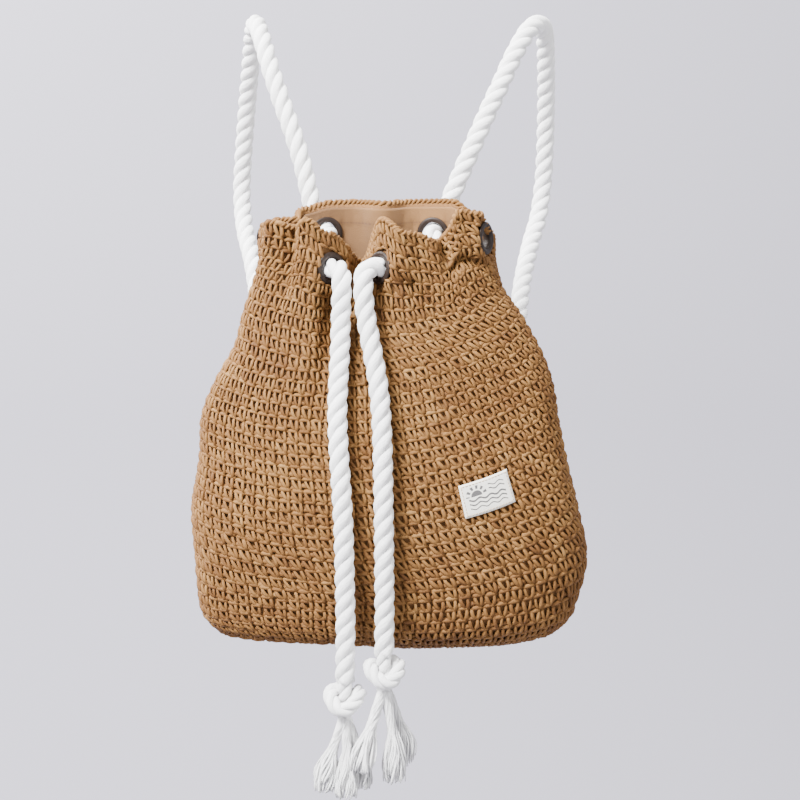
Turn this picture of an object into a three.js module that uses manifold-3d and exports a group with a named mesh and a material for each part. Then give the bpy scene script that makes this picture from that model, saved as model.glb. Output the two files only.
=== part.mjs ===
// A drawstring backpack of crocheted raffia, lined with cloth and gathered at the mouth by thick cotton rope.
// Each rope ends in a knot inside the low back of the bag, rises as a shoulder strap, goes in through an
// eyelet at the back of the mouth, out through one at the front, and hangs down to a knot and a tassel.
// The bag hangs as worn. The origin is where the two straps lie over the shoulders, Z is up, and the front of
// the bag, with its tails, faces -Y. Units are millimetres.

import * as THREE from 'three';
import { mergeVertices } from 'three/addons/utils/BufferGeometryUtils.js';
import Module from 'manifold-3d';

const wasm = await Module();
wasm.setup();

// The bag. Its mean radius is a share of its width. The rim's slump starts, and the rise of the stitch rows at
// the sides is full or starts to fade, at shares of the height.
const BAG_WIDTH = 354;
const BAG_DEPTH = 150;
const BAG_HEIGHT = 395;
const BASE_EDGE = 30;
const WALL = 4;
const LINING_WALL = 1;
const LINING_DEPTH = 150;
const LINING_TUCK = 5;
const RIM_SLUMP = 50;
const SIDE_LIFT = 30;
const MEAN_RADIUS = 0.37;
const SLUMP_FROM = 0.66;
const LIFT_FULL_AT = 0.22;
const LIFT_GONE_FROM = 0.72;
const GAP = 0.3;
const LINING_GAP = 1.3;

// Where it hangs from the shoulders
const SHOULDERS_TO_BASE = 545;
const SHOULDERS_TO_BAG_BACK = 72;

// Rope and eyelets
const ROPE = 18;
const BORE_CLEARANCE = 0.8;
const EYELET_METAL = 1;
const FLANGE_WIDTH = 3.8;
const FLANGE_THICK = 1.6;
const EYELET_FRONT_DEPTH = 52;
const EYELET_BACK_DEPTH = 30;
const LOW_EYELET_HEIGHT = 48;

// Knots, tassels and label
const KNOT_WIDTH = 32;
const KNOT_HEIGHT = 33;
const STOP_KNOT = 30;
const TASSEL_LEFT = 73;
const TASSEL_RIGHT = 83;
const LOCK_NECK = 9;
const LOCK_TUFT = 24;
const LABEL_WIDTH = 46;
const LABEL_HEIGHT = 30;
const LABEL_THICK = 1.2;
const LABEL_LIFT = 0.8;

// Sections of the bag up its height. The half widths are shares of half BAG_WIDTH, and the half depths shares
// of half BAG_DEPTH. corner pushes the diagonals out, from an oval towards a rounded box.
const SECTIONS = [
  { height: 0.00, left: 0.925, right: 0.880, front: 0.86, back: 0.88, corner: 0.05 },
  { height: 0.08, left: 0.980, right: 0.945, front: 0.92, back: 0.92, corner: 0.07 },
  { height: 0.19, left: 1.000, right: 1.000, front: 1.00, back: 0.96, corner: 0.06 },
  { height: 0.31, left: 1.015, right: 0.950, front: 1.03, back: 0.97, corner: 0.05 },
  { height: 0.42, left: 0.975, right: 0.890, front: 1.00, back: 0.95, corner: 0.04 },
  { height: 0.52, left: 0.960, right: 0.845, front: 0.93, back: 0.90, corner: 0.03 },
  { height: 0.60, left: 0.890, right: 0.815, front: 0.86, back: 0.84, corner: 0.02 },
  { height: 0.68, left: 0.790, right: 0.745, front: 0.78, back: 0.77, corner: 0.01 },
  { height: 0.75, left: 0.750, right: 0.655, front: 0.71, back: 0.70, corner: 0.01 },
  { height: 0.81, left: 0.705, right: 0.565, front: 0.68, back: 0.68, corner: 0.00 },
  { height: 0.87, left: 0.665, right: 0.525, front: 0.67, back: 0.67, corner: 0.00 },
  { height: 0.93, left: 0.635, right: 0.510, front: 0.67, back: 0.67, corner: 0.00 },
  { height: 1.00, left: 0.610, right: 0.490, front: 0.68, back: 0.68, corner: 0.00 },
];

// How far the rim hangs below its highest point, round the mouth, as a share of RIM_SLUMP. Angles are in
// degrees from the front, growing towards +X.
const RIM = [
  { angle: -180, drop: 0.02 },
  { angle: -148, drop: 0.02 },
  { angle: -132, drop: 0.12 },
  { angle: -112, drop: 0.30 },
  { angle: -92, drop: 0.40 },
  { angle: -66, drop: 0.28 },
  { angle: -52, drop: 0.40 },
  { angle: -41, drop: 0.20 },
  { angle: -31, drop: 0.45 },
  { angle: -17, drop: 1.00 },
  { angle: -5, drop: 0.20 },
  { angle: 8, drop: 0.42 },
  { angle: 28, drop: 0.60 },
  { angle: 42, drop: 0.06 },
  { angle: 58, drop: 0.12 },
  { angle: 78, drop: 0.45 },
  { angle: 95, drop: 0.70 },
  { angle: 118, drop: 0.34 },
  { angle: 142, drop: 0.00 },
];

// Folds, valleys with a negative depth and ridges with a positive one. Each runs from its top to its foot,
// given as an angle and a share of the height, and is width mm to each side and depth mm deep at the top,
// both as shares of BAG_WIDTH.
const FOLDS = [
  { name: 'notch between the front eyelets', top: [-17, 1.04], foot: [-16, 0.66], width: 0.062, depth: -0.125 },
  { name: 'valley behind the left tail', top: [-21, 0.80], foot: [-15, 0.42], width: 0.042, depth: -0.030 },
  { name: 'valley beside the left tail', top: [-27, 0.79], foot: [-22, 0.46], width: 0.024, depth: -0.045 },
  { name: 'left front ridge', top: [-43, 1.04], foot: [-34, 0.60], width: 0.050, depth: 0.028 },
  { name: 'valley left of the ridge', top: [-54, 1.02], foot: [-50, 0.64], width: 0.030, depth: -0.034 },
  { name: 'left wing', top: [-70, 1.02], foot: [-72, 0.72], width: 0.045, depth: 0.022 },
  { name: 'right front ridge', top: [4, 1.02], foot: [10, 0.66], width: 0.045, depth: 0.020 },
  { name: 'pull line from the right eyelet', top: [9, 0.86], foot: [34, 0.58], width: 0.024, depth: -0.016 },
  { name: 'notch right of the ridge', top: [29, 1.04], foot: [33, 0.84], width: 0.027, depth: -0.046 },
  { name: 'crease under the right lobe', top: [34, 0.885], foot: [74, 0.83], width: 0.017, depth: -0.024 },
  { name: 'right lobe', top: [56, 1.02], foot: [58, 0.88], width: 0.040, depth: 0.022 },
  { name: 'right rear valley', top: [118, 1.02], foot: [112, 0.68], width: 0.045, depth: -0.045 },
  { name: 'back valley', top: [185, 1.02], foot: [184, 0.60], width: 0.060, depth: -0.050 },
  { name: 'left rear valley', top: [242, 1.02], foot: [246, 0.66], width: 0.045, depth: -0.045 },
  { name: 'hollow of the left flank', top: [-58, 0.48], foot: [-40, 0.20], width: 0.090, depth: -0.012 },
  { name: 'hollow of the right flank', top: [38, 0.56], foot: [62, 0.30], width: 0.080, depth: -0.012 },
];

// Eyelets, each at an angle round the mouth and a height over the base. The low ones are on the back.
const FRONT_HEIGHT = BAG_HEIGHT - EYELET_FRONT_DEPTH;
const BACK_HEIGHT = BAG_HEIGHT - EYELET_BACK_DEPTH;
const EYELETS = [
  { name: 'eyelet_front_left', angle: -28.5, height: FRONT_HEIGHT, lined: true },
  { name: 'eyelet_front_right', angle: -5.5, height: FRONT_HEIGHT, lined: true },
  { name: 'eyelet_right', angle: 66, height: BACK_HEIGHT, lined: true },
  { name: 'eyelet_back_right', angle: 156, height: BACK_HEIGHT, lined: true },
  { name: 'eyelet_back_left', angle: 214, height: BACK_HEIGHT, lined: true },
  { name: 'eyelet_left', angle: 254, height: BACK_HEIGHT, lined: true },
  { name: 'eyelet_low_right', angle: 142, height: LOW_EYELET_HEIGHT, lined: false },
  { name: 'eyelet_low_left', angle: 218, height: LOW_EYELET_HEIGHT, lined: false },
];

// The label's place on the front, and its turn from the rows of stitches
const LABEL_PLACE = { angle: 29.5, height: 0.352, turn: 7 };

const radians = THREE.MathUtils.degToRad;
const smooth = (low, high, value) => THREE.MathUtils.smoothstep(value, low, high);

// A column of a table at a place along its key, through its rows in smooth curves.
function column(table, key, place, name) {
  let i = table.findIndex((row, k) => k > 0 && place <= row[key]);
  if (i < 0) i = table.length - 1;
  const [a, b] = [table[i - 1], table[i]];
  const slopeAt = (k) => {
    const before = table[Math.max(k - 1, 0)];
    const after = table[Math.min(k + 1, table.length - 1)];
    return (after[name] - before[name]) / (after[key] - before[key]);
  };
  const span = b[key] - a[key];
  const s = THREE.MathUtils.clamp((place - a[key]) / span, 0, 1);
  const rise = slopeAt(i - 1) * span * s * (1 - s) ** 2 - slopeAt(i) * span * s * s * (1 - s);
  return a[name] * (1 + 2 * s) * (1 - s) ** 2 + b[name] * s * s * (3 - 2 * s) + rise;
}

// The drop of the rim at an angle.
function rimDrop(angle) {
  const turned = THREE.MathUtils.euclideanModulo(angle + 180, 360) - 180;
  const i = RIM.findLastIndex((row) => row.angle <= turned);
  const next = i + 1 < RIM.length ? RIM[i + 1] : { angle: 180, drop: RIM[0].drop };
  const share = smooth(RIM[i].angle, next.angle, turned);
  return RIM_SLUMP * THREE.MathUtils.lerp(RIM[i].drop, next.drop, share);
}

// How far the folds move the wall outwards at an angle and a share of the height. Angles are taken as lengths
// on an oval of the bag's mean girth.
function foldDepth(angle, share) {
  const perDegree = radians(BAG_WIDTH * MEAN_RADIUS);
  let depth = 0;
  for (const fold of FOLDS) {
    const around = THREE.MathUtils.euclideanModulo(angle - fold.top[0] + 180, 360) - 180;
    const point = new THREE.Vector2(around * perDegree, (share - fold.top[1]) * BAG_HEIGHT);
    const run = new THREE.Vector2((fold.foot[0] - fold.top[0]) * perDegree, (fold.foot[1] - fold.top[1]) * BAG_HEIGHT);
    const along = THREE.MathUtils.clamp(point.dot(run) / run.lengthSq(), 0, 1);
    const off = point.sub(run.multiplyScalar(along)).length() / (fold.width * BAG_WIDTH);
    depth += fold.depth * BAG_WIDTH * Math.exp(-off * off) * (1 - smooth(0, 1, along));
  }
  return depth;
}

// A point of the bag's outer face before the eyelets flatten it. share is 0 at the edge of the base and 1 at
// the rim.
function loosePoint(angle, share) {
  const a = radians(angle);
  const lift = SIDE_LIFT * Math.sin(a) ** 2 * smooth(0, LIFT_FULL_AT, share) * (1 - smooth(LIFT_GONE_FROM, 1, share));
  const height = share * (BAG_HEIGHT - rimDrop(angle) * smooth(SLUMP_FROM, 1, share)) + lift;
  const level = height / BAG_HEIGHT;
  const toEdge = Math.max(BASE_EDGE - height, 0);
  const inset = BASE_EDGE - Math.sqrt(BASE_EDGE ** 2 - toEdge ** 2);
  const part = (name) => column(SECTIONS, 'height', level, name);
  const halfWidth = (side) => BAG_WIDTH / 2 * part(side) - inset;
  const halfDepth = (side) => BAG_DEPTH / 2 * part(side) - inset;
  const across = THREE.MathUtils.lerp(halfWidth('left'), halfWidth('right'), 0.5 + 0.5 * Math.sin(a));
  const deep = THREE.MathUtils.lerp(halfDepth('back'), halfDepth('front'), 0.5 + 0.5 * Math.cos(a));
  const bulge = 1 + part('corner') * Math.sin(2 * a) ** 2;
  const out = new THREE.Vector2(Math.sin(a) / across, -Math.cos(a) / deep).normalize();
  out.multiplyScalar(foldDepth(angle, share));
  return new THREE.Vector3(
    across * Math.sin(a) * bulge + out.x,
    deep * -Math.cos(a) * bulge + out.y - SHOULDERS_TO_BAG_BACK - BAG_DEPTH / 2,
    height - SHOULDERS_TO_BASE,
  );
}

// The outward normal of a face given as a function of angle and share.
function normalOf(face, angle, share) {
  const step = 0.004;
  const aroundIt = face(angle + 1, share).sub(face(angle - 1, share));
  const upIt = face(angle, Math.min(share + step, 1)).sub(face(angle, Math.max(share - step, 0)));
  return aroundIt.cross(upIt).normalize();
}

// Sides of the round pieces
const RING_SIDES = 12;
const ROPE_SIDES = 8;

const BORE = ROPE + 2 * BORE_CLEARANCE;
const BARREL = BORE + 2 * EYELET_METAL;
const FLANGE = BARREL + 2 * FLANGE_WIDTH;
const SEAT_FLAT = FLANGE / 2 + 2;
const SEAT_END = FLANGE / 2 + 12;

for (const eyelet of EYELETS) {
  const slump = rimDrop(eyelet.angle) * smooth(SLUMP_FROM, 1, eyelet.height / BAG_HEIGHT);
  eyelet.share = eyelet.height / (BAG_HEIGHT - slump);
  eyelet.centre = loosePoint(eyelet.angle, eyelet.share);
  eyelet.axis = normalOf(loosePoint, eyelet.angle, eyelet.share);
}

// The bag's outer face, pressed flat where the eyelets clamp it.
function wallPoint(angle, share) {
  const point = loosePoint(angle, share);
  for (const eyelet of EYELETS) {
    const off = point.clone().sub(eyelet.centre);
    const height = off.dot(eyelet.axis);
    const pressed = 1 - smooth(SEAT_FLAT, SEAT_END, off.length());
    point.addScaledVector(eyelet.axis, -height * pressed);
  }
  return point;
}

function wallInside(angle, share, depth) {
  return wallPoint(angle, share).addScaledVector(normalOf(loosePoint, angle, share), -depth);
}

// A closed mesh from rings of points, each ring the same number of points and running anticlockwise as seen
// from the far end. The ends are closed to a middle point, or the last ring joins the first.
function fromRings(rings, joined = false) {
  const count = rings[0].length;
  const points = rings.flat();
  const faces = [];
  const last = rings.length - 1;
  for (let r = 0; r < (joined ? rings.length : last); r++) {
    const [low, high] = [r * count, ((r + 1) % rings.length) * count];
    for (let i = 0; i < count; i++) {
      const j = (i + 1) % count;
      const rising = points[low + i].distanceTo(points[high + j]);
      const falling = points[low + j].distanceTo(points[high + i]);
      if (rising < falling) faces.push(low + i, low + j, high + j, low + i, high + j, high + i);
      else faces.push(low + i, low + j, high + i, low + j, high + j, high + i);
    }
  }
  if (!joined) {
    for (const [ring, turned] of [[0, true], [last, false]]) {
      const middle = points.length;
      const sum = rings[ring].reduce((total, point) => total.add(point), new THREE.Vector3());
      points.push(sum.divideScalar(count));
      for (let i = 0; i < count; i++) {
        const [a, b] = [ring * count + i, ring * count + (i + 1) % count];
        faces.push(...(turned ? [b, a, middle] : [a, b, middle]));
      }
    }
  }
  const geometry = new THREE.BufferGeometry().setFromPoints(points);
  geometry.setIndex(faces);
  return geometry;
}

// Angles round the bag, close together at the front where the folds are
const SPANS = [
  { from: -76, to: -44, steps: 4 },
  { from: -44, to: 10, steps: 13 },
  { from: 10, to: 78, steps: 10 },
  { from: 78, to: 284, steps: 18 },
];
const ANGLES = SPANS.flatMap(({ from, to, steps }) => {
  return Array.from({ length: steps }, (_, i) => THREE.MathUtils.lerp(from, to, i / steps));
});

const LINING_TOP = 1 - LINING_TUCK / BAG_HEIGHT;
const LINING_FOOT = 1 - LINING_DEPTH / BAG_HEIGHT;
const RISE = [
  0.03, 0.08, 0.18, 0.29, 0.41, 0.53, LINING_FOOT, 0.73,
  0.79, 0.83, 0.87, 0.905, 0.94, LINING_TOP, 1,
];

function wallRing(share, depth) {
  return ANGLES.map((angle) => wallInside(angle, share, depth));
}

function shellGeometry() {
  const shares = [0, ...RISE];
  const outer = shares.map((share) => wallRing(share, 0));
  const inner = shares.map((share) => wallRing(share, WALL)).reverse();
  return fromRings([...outer, ...inner]);
}

function liningGeometry() {
  const shares = RISE.filter((share) => share >= LINING_FOOT && share <= LINING_TOP);
  const outer = shares.map((share) => wallRing(share, WALL + LINING_GAP));
  const inner = shares.map((share) => wallRing(share, WALL + LINING_GAP + LINING_WALL)).reverse();
  return fromRings([...outer, ...inner], true);
}

// Turned shapes have their axis along Z, with profile points as [radius, height] pairs.
function turned(profile, sides) {
  const geometry = new THREE.LatheGeometry(profile.map(([r, z]) => new THREE.Vector2(r, z)), sides);
  return geometry.rotateX(Math.PI / 2);
}

function solidOf(geometry) {
  const plain = geometry.clone();
  plain.deleteAttribute('normal');
  plain.deleteAttribute('uv');
  const merged = mergeVertices(plain, 1e-3);
  return new wasm.Manifold(new wasm.Mesh({
    numProp: 3,
    vertProperties: new Float32Array(merged.attributes.position.array),
    triVerts: new Uint32Array(merged.index.array),
  }));
}

function geometryOf(solid) {
  const { vertProperties, triVerts } = solid.getMesh();
  const geometry = new THREE.BufferGeometry();
  geometry.setAttribute('position', new THREE.BufferAttribute(vertProperties, 3));
  geometry.setIndex(new THREE.BufferAttribute(triVerts, 1));
  return geometry;
}

// Turns and moves a shape whose axis is along Z so that it stands on a point along a direction.
function stood(geometry, point, direction) {
  const turn = new THREE.Quaternion().setFromUnitVectors(new THREE.Vector3(0, 0, 1), direction);
  return geometry.applyQuaternion(turn).translate(point.x, point.y, point.z);
}

// How thick the cloth is that an eyelet clamps
function clamped(eyelet) {
  return WALL + (eyelet.lined ? LINING_GAP + LINING_WALL : 0);
}

// Cuts the eyelets' holes, and takes away whatever stands above their flat seats on either face.
function pierced(geometry) {
  const [hole, seat, reach] = [BARREL / 2 + GAP, FLANGE / 2 + GAP, 2 * WALL];
  return geometryOf(EYELETS.reduce((solid, eyelet) => {
    const under = -clamped(eyelet);
    const cutter = turned([
      [0, under - reach], [seat, under - reach], [seat, under], [hole, under],
      [hole, 0], [seat, 0], [seat, reach], [0, reach],
    ], RING_SIDES);
    return solid.subtract(solidOf(stood(cutter, eyelet.centre, eyelet.axis)));
  }, solidOf(geometry)));
}

// An eyelet is one turned piece: a barrel through the wall, with a domed flange outside and a flat one inside.
function eyeletGeometry(eyelet) {
  const [bore, barrel, flange] = [BORE / 2, BARREL / 2, FLANGE / 2];
  const inside = -clamped(eyelet) - GAP;
  return stood(turned([
    [bore, inside - FLANGE_THICK], [flange, inside - FLANGE_THICK], [flange, inside], [barrel, inside],
    [barrel, GAP], [flange, GAP], [flange - FLANGE_WIDTH / 3, GAP + FLANGE_THICK],
    [bore, GAP + FLANGE_THICK], [bore, inside - FLANGE_THICK],
  ], RING_SIDES), eyelet.centre, eyelet.axis);
}

// The ropes' routes, in millimetres, chosen by eye to follow the bag and the wearer's shoulders. A strap runs
// from its eyelet at the back of the mouth over the shoulder to the low eyelet, an inner rope from the same
// back eyelet to the front one, and a tail from there down to its knot.
const ROUTES = {
  strap_left: [
    [-59.5, -107.8, -178.4], [-62.5, -97.7, -178.2], [-65.6, -89.6, -175], [-69.5, -84.4, -164.5],
    [-74.5, -80, -147], [-81, -74, -120], [-90.4, -66, -90], [-101.7, -56, -60], [-112, -44.5, -31],
    [-120.5, -27, -4.5], [-127.6, 0, 9], [-132, 25, -0.5], [-136, 47, -27], [-142, 72, -72], [-147, 87, -120],
    [-148.9, 90, -151], [-147.5, 81, -174], [-143.5, 62, -194], [-135.8, 35, -217], [-128.7, 5, -252],
    [-124.5, -27, -306], [-120.5, -53, -372], [-118.4, -62.5, -430], [-118.2, -62, -466],
    [-118.2, -65, -479], [-117.8, -71.3, -487.5], [-116.9, -79.9, -490.8], [-112.7, -95.3, -490],
  ],
  strap_right: [
    [38.9, -103.5, -179.1], [41.4, -93.3, -179], [44.4, -86.6, -174.6], [49.5, -83.2, -161],
    [58.4, -79.5, -140], [73.2, -72, -106], [88, -62, -73], [102.2, -50, -43.5], [114.5, -37, -18],
    [128, -19, 3], [139.5, 1, 9], [146, 24, -1], [149, 47, -29], [151, 72, -75], [151, 85, -123],
    [149, 87, -153], [144.5, 77, -180], [136, 55, -204], [125.8, 15, -240], [119.6, -22, -284],
    [117, -49, -345], [116.8, -61.5, -410], [117.3, -62.3, -464], [117.4, -65, -479], [117, -71.3, -487.5],
    [116.1, -79.9, -491], [111.9, -95.3, -489.8],
  ],
  inner_rope_left: [
    [-53.8, -182.8, -203.6], [-57.5, -178.2, -203.7], [-62.5, -172.8, -204.6], [-72.5, -165.8, -208.5],
    [-82, -157.5, -212.5], [-86.5, -148, -212.5], [-83, -139.5, -206], [-74, -133.5, -197],
    [-64.5, -128, -187], [-58.6, -121.5, -180.4], [-57.4, -114.6, -178.6], [-59.3, -108.5, -178.5],
  ],
  inner_rope_right: [
    [-7.5, -188, -202.8], [-3.1, -184.2, -203.4], [2.4, -180, -204.4], [11, -174.8, -207.5], [22, -169.5, -212.5],
    [35.5, -162, -216], [46.5, -150, -215], [49, -138, -206.5], [44.5, -128.5, -194.5],
    [38.5, -121.8, -184.5], [36.5, -115.3, -179.8], [38.8, -104.1, -179.1],
  ],
  tail_left: [
    [-53.5, -183.2, -203.6], [-47.5, -190.7, -203.3], [-43.7, -197.3, -205.6], [-42.6, -202.8, -213],
    [-42.8, -204.4, -226], [-43.3, -204.6, -243], [-44, -208.5, -270], [-45.4, -214, -298], [-46.3, -220.8, -324],
    [-45.3, -227.6, -354], [-43.2, -232.2, -386], [-41.4, -233.8, -420], [-40.4, -233.6, -460],
    [-39.8, -233, -510], [-40.3, -232.4, -563],
  ],
  tail_right: [
    [-8, -188.4, -202.7], [-16, -195.2, -201.7], [-21.6, -200.6, -204.6], [-23.7, -205.6, -212.5],
    [-23.4, -208.4, -226], [-21.5, -209.8, -243], [-16.8, -214.2, -268], [-11.8, -219.6, -295],
    [-8.7, -224.6, -322], [-7.2, -229.4, -352], [-6.6, -233, -386], [-6.1, -234.4, -420], [-5.8, -234.4, -460],
    [-5.6, -233.8, -500], [-6, -233.4, -538],
  ],
};

// A Catmull-Rom curve whose steps keep to the points it was given, closer together where those are
class Route extends THREE.CatmullRomCurve3 {
  getUtoTmapping(u) {
    return u;
  }
}

function ropeGeometry(points) {
  const route = new Route(points.map((point) => new THREE.Vector3(...point)));
  const section = new THREE.Shape(new THREE.Path().absarc(0, 0, ROPE / 2, 0, 2 * Math.PI).getPoints(ROPE_SIDES / 2));
  const steps = points.length - 1;
  return new THREE.ExtrudeGeometry(section, { steps, extrudePath: route, bevelEnabled: false });
}

// A knot is a ball of wound rope, drawn in at both ends where the rope enters.
function knotGeometry(top, width, height) {
  const [r, h, neck] = [width / 2, height / 2, ROPE / 2];
  return turned([
    [0, -h], [neck * 0.9, -h], [r * 0.82, -h * 0.72], [r, -h * 0.2], [r, h * 0.25],
    [r * 0.8, h * 0.75], [neck, h], [0, h],
  ], RING_SIDES).translate(top[0], top[1], top[2] - h - GAP);
}

// A tassel is the rope's three strands unlaid below the knot, each frayed into a tuft at its end. Its locks
// are fused to a round head. A lock leans by the share of the length that lean and forward give.
const TASSELS = {
  left: { locks: [[-0.22, 0.02, 0.95], [0.03, -0.06, 1.00], [0.20, 0.08, 0.93]] },
  right: { locks: [[-0.20, -0.18, 0.86], [0.12, -0.06, 1.00], [0.20, 0.22, 0.90]] },
};

function lockGeometry(lean, forward, reach, length) {
  const spread = new THREE.Vector3(lean, forward, 0).multiplyScalar(length);
  const stages = [[0, 0.6], [0.22, 1], [0.45, 0.9], [0.60, 1.5], [0.82, LOCK_TUFT / LOCK_NECK], [1, 1.9]];
  const rings = stages.map(([share, girth]) => {
    const middle = spread.clone().multiplyScalar(Math.sin(share * Math.PI / 2));
    middle.z = -share * reach * length;
    return Array.from({ length: ROPE_SIDES }, (_, i) => {
      const turn = 2 * Math.PI * i / ROPE_SIDES;
      const out = new THREE.Vector3(Math.cos(turn), -Math.sin(turn) * 0.8, 0);
      return out.multiplyScalar(girth * LOCK_NECK / 2).add(middle);
    });
  });
  return fromRings(rings);
}

function tasselGeometry(side, top, length) {
  const head = knotGeometry([0, 0, GAP], ROPE * 1.1, ROPE);
  const fused = TASSELS[side].locks.reduce((solid, [lean, forward, reach]) => {
    const lock = lockGeometry(lean, forward, reach, length - ROPE / 2).translate(0, 0, -ROPE / 2);
    return solid.add(solidOf(lock));
  }, solidOf(head));
  return geometryOf(fused).translate(top[0], top[1], top[2] - GAP);
}

// The label follows the bag's face, turned a little from the rows of stitches.
function labelGeometry() {
  const { angle, height, turn } = LABEL_PLACE;
  const perDegree = wallPoint(angle + 1, height).distanceTo(wallPoint(angle, height));
  const perShare = wallPoint(angle, height + 0.01).distanceTo(wallPoint(angle, height)) / 0.01;
  const [columns, rows] = [4, 3];
  const pointAt = (i, j, above) => {
    const place = new THREE.Vector2((i / columns - 0.5) * LABEL_WIDTH, (j / rows - 0.5) * LABEL_HEIGHT);
    place.rotateAround(new THREE.Vector2(), radians(turn));
    return wallInside(angle + place.x / perDegree, height + place.y / perShare, -above);
  };
  const layers = [LABEL_LIFT, LABEL_LIFT + LABEL_THICK].map((above) => {
    const layer = [];
    for (let j = 0; j <= rows; j++) for (let i = 0; i <= columns; i++) layer.push(pointAt(i, j, above));
    return layer;
  });
  const across = columns + 1;
  const count = layers[0].length;
  const faces = [];
  for (let j = 0; j < rows; j++) {
    for (let i = 0; i < columns; i++) {
      const a = j * across + i;
      const [b, c, d] = [a + 1, a + 1 + across, a + across];
      faces.push(count + a, count + b, count + c, count + a, count + c, count + d, a, c, b, a, d, c);
    }
  }
  const edge = [];
  for (let i = 0; i < columns; i++) edge.push(i);
  for (let j = 0; j < rows; j++) edge.push(j * across + columns);
  for (let i = columns; i > 0; i--) edge.push(rows * across + i);
  for (let j = rows; j > 0; j--) edge.push(j * across);
  edge.forEach((a, k) => {
    const b = edge[(k + 1) % edge.length];
    faces.push(a, b, count + b, a, count + b, count + a);
  });
  const geometry = new THREE.BufferGeometry().setFromPoints(layers.flat());
  geometry.setIndex(faces);
  return geometry;
}

const parts = {
  straw: new THREE.MeshStandardMaterial({ color: 0xb98f5f, roughness: 0.8 }),
  lining: new THREE.MeshStandardMaterial({ color: 0xb98f68, roughness: 0.9 }),
  rope: new THREE.MeshStandardMaterial({ color: 0xf1efec, roughness: 0.9 }),
  eyelet: new THREE.MeshStandardMaterial({ color: 0x2a1a12, roughness: 0.35, metalness: 0.9 }),
  label: new THREE.MeshStandardMaterial({ color: 0xefe9dc, roughness: 0.9 }),
};

const backpack = new THREE.Group();

function add(name, geometry, material) {
  const mesh = new THREE.Mesh(geometry, parts[material]);
  mesh.name = name;
  backpack.add(mesh);
}

add('bag_shell', pierced(shellGeometry()), 'straw');
add('lining', pierced(liningGeometry()), 'lining');
for (const eyelet of EYELETS) add(eyelet.name, eyeletGeometry(eyelet), 'eyelet');
for (const [name, points] of Object.entries(ROUTES)) add(name, ropeGeometry(points), 'rope');
for (const [side, length] of [['left', TASSEL_LEFT], ['right', TASSEL_RIGHT]]) {
  const end = ROUTES[`tail_${side}`].at(-1);
  add(`knot_${side}`, knotGeometry(end, KNOT_WIDTH, KNOT_HEIGHT), 'rope');
  add(`tassel_${side}`, tasselGeometry(side, [end[0], end[1], end[2] - KNOT_HEIGHT - GAP], length), 'rope');
  const eyelet = EYELETS.find(({ name }) => name === `eyelet_low_${side}`);
  const inside = knotGeometry([0, 0, 0], STOP_KNOT, STOP_KNOT);
  add(`stop_knot_${side}`, stood(inside, new THREE.Vector3(...ROUTES[`strap_${side}`].at(-1)), eyelet.axis), 'rope');
}
add('label', labelGeometry(), 'label');

export default backpack;
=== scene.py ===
import math

import bpy
import numpy as np
from mathutils import Matrix, Vector


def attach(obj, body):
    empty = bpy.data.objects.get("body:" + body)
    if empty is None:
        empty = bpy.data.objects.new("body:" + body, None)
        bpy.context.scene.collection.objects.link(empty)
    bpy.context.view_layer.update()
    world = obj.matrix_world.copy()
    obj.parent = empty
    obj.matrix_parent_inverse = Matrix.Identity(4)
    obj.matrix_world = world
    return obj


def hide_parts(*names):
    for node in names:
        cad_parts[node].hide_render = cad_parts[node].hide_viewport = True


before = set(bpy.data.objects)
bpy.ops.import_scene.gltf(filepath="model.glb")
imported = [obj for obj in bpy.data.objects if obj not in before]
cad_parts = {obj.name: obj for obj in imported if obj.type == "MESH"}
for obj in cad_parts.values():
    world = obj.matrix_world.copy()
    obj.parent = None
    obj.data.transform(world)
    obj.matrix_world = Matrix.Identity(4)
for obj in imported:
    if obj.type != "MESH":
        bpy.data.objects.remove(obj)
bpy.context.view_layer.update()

MM = 0.001

# The camera stands level with the top of the straps, square to the bag's front, and looks down at it by nine
# degrees through a long lens.
AIM = Vector((0.008, -0.147, -0.326))
DISTANCE = 2.0
DOWN = math.radians(9)
bpy.ops.object.select_all(action="DESELECT")
bpy.ops.object.camera_add(
    location=AIM + DISTANCE * Vector((0, -math.cos(DOWN), math.sin(DOWN))),
    rotation=(math.pi / 2 - DOWN, 0, 0),
)
camera = bpy.context.object
camera.data.lens = 100
camera.data.sensor_width = 36
bpy.context.scene.camera = camera


# The rope is thick soft white cotton, three strands laid right-handed. Each one starts at a knot inside the
# low back, is the shoulder strap, threads the mouth from back to front, and hangs down to its tassel. Its
# strands press on each other, so that each is a little wider along the rope's face than it is deep.
STRAND = 3.95 * MM
STRAND_WIDENED = 1.18
STRAND_OFFSET = 5.05 * MM
LAY = 43 * MM
ROPE_STEP = 2.2 * MM
TURN_LEFT, TURN_RIGHT = 0.4, 1.9
STRAP_LEFT = [
    (-59.5, -107.8, -178.4), (-62.5, -97.7, -178.2), (-65.6, -89.6, -175), (-69.5, -84.4, -164.5),
    (-74.5, -80, -147), (-81, -74, -120), (-90.4, -66, -90), (-101.7, -56, -60), (-112, -44.5, -31),
    (-120.5, -27, -4.5), (-127.6, 0, 9), (-132, 25, -0.5), (-136, 47, -27), (-142, 72, -72), (-147, 87, -120),
    (-148.9, 90, -151), (-147.5, 81, -174), (-143.5, 62, -194), (-135.8, 35, -217), (-128.7, 5, -252),
    (-124.5, -27, -306), (-120.5, -53, -372), (-118.4, -62.5, -430), (-118.2, -62, -466),
    (-118.2, -65, -479), (-117.8, -71.3, -487.5), (-116.9, -79.9, -490.8), (-112.7, -95.3, -490),
]
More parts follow.
